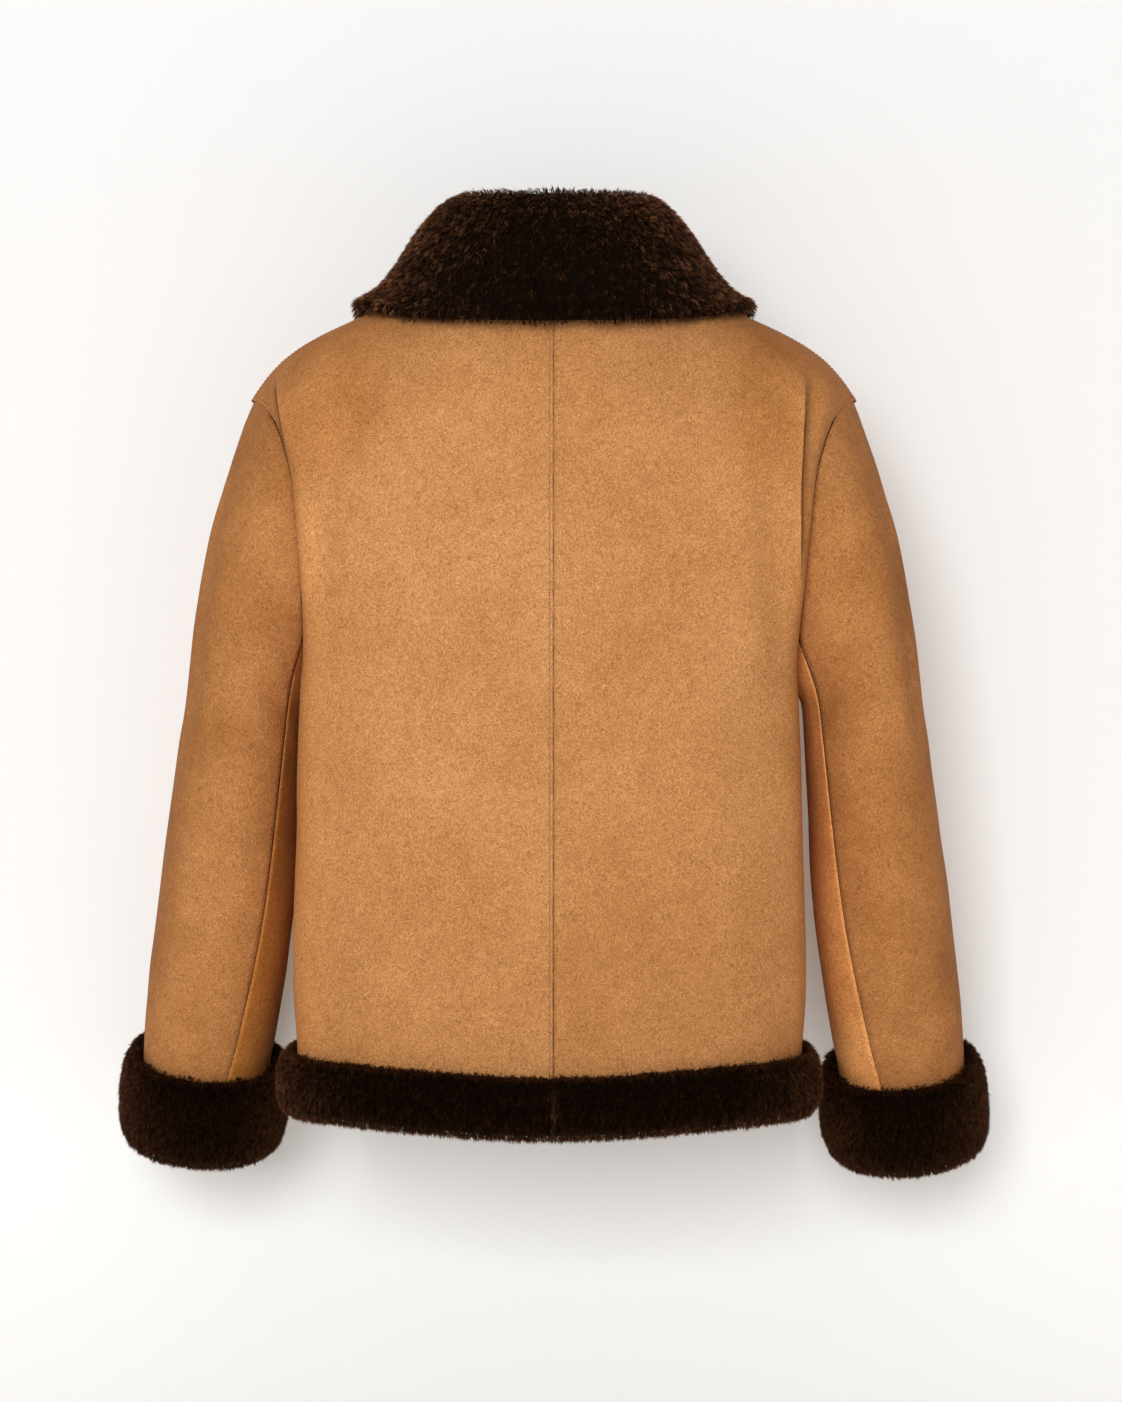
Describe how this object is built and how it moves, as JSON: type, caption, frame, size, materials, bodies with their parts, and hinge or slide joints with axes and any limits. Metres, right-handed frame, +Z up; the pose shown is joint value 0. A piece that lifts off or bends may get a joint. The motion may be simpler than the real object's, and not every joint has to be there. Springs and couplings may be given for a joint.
{
  "type": "faux fur jacket",
  "caption": "Hip-length faux suede jacket with a deep faux fur collar, hem band and turned-back cuffs, filled out as worn.",
  "frame": {"origin": "middle of the neck base, level with the neck seam at the centre back, where the wearer's neck and shoulders hold the jacket", "axes": "+Z up, +X to the wearer's left, the back of the jacket faces +Y and its front faces -Y"},
  "size_m": [0.6934, 0.2855, 0.7633],
  "materials": {
    "suede": "napped faux suede",
    "fur": "dense faux fur"
  },
  "bodies": {
    "root": {"back_left": "suede", "back_right": "suede", "front_left": "suede", "front_right": "suede", "sleeve_top_left": "suede", "sleeve_top_right": "suede", "sleeve_under_left": "suede", "sleeve_under_right": "suede", "cuff_left": "fur", "cuff_right": "fur", "hem_band_left": "fur", "hem_band_right": "fur", "collar": "fur"}
  },
  "joints": []
}
